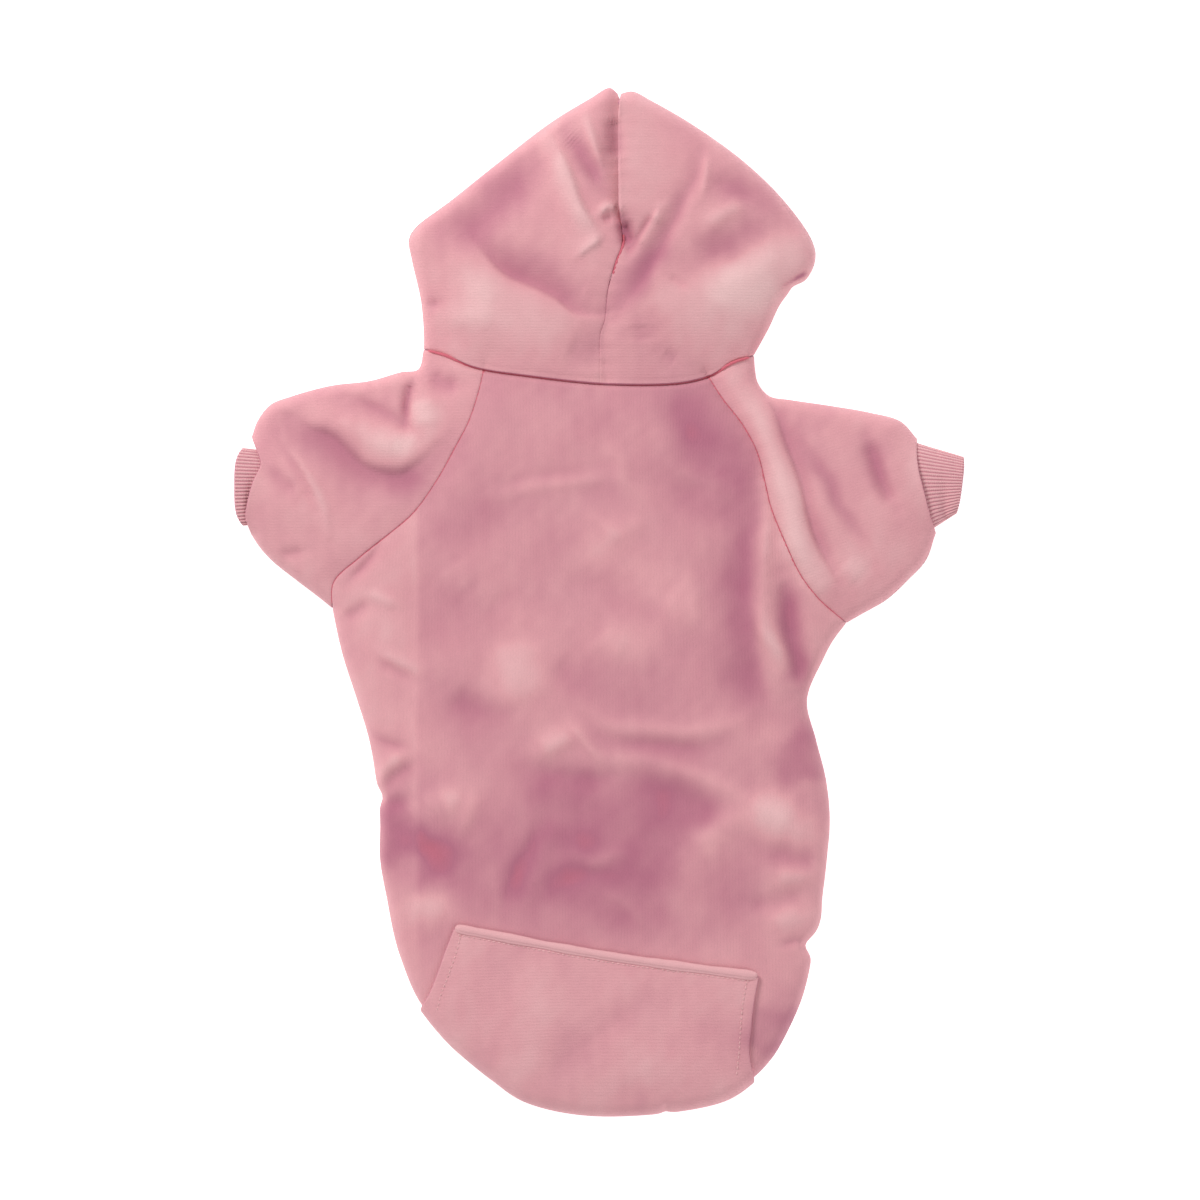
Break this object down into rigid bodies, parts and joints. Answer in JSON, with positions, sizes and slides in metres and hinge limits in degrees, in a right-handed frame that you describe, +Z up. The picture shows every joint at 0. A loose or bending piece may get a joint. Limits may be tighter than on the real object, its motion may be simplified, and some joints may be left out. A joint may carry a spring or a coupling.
{
  "type": "dog hoodie",
  "caption": "Fleece dog hoodie lying flat with its back up: raglan sleeves with ribbed cuffs, a hood and a pouch pocket over the tail end.",
  "frame": {"origin": "middle of the outer box, on the surface that the hoodie lies on", "axes": "+Z up from the belly to the back, +Y from the tail to the hood, +X to the right seen from above"},
  "size_m": [0.349, 0.4874, 0.034],
  "materials": {
    "fleece": "matte brushed fleece",
    "rib_knit": "matte rib knit"
  },
  "bodies": {
    "root": {"back_panel": "fleece", "belly_panel": "fleece", "left_sleeve": "fleece", "right_sleeve": "fleece", "left_cuff": "rib_knit", "right_cuff": "rib_knit", "hood_left_panel": "fleece", "hood_right_panel": "fleece", "pocket_panel": "fleece", "pocket_roll": "fleece"}
  },
  "joints": []
}
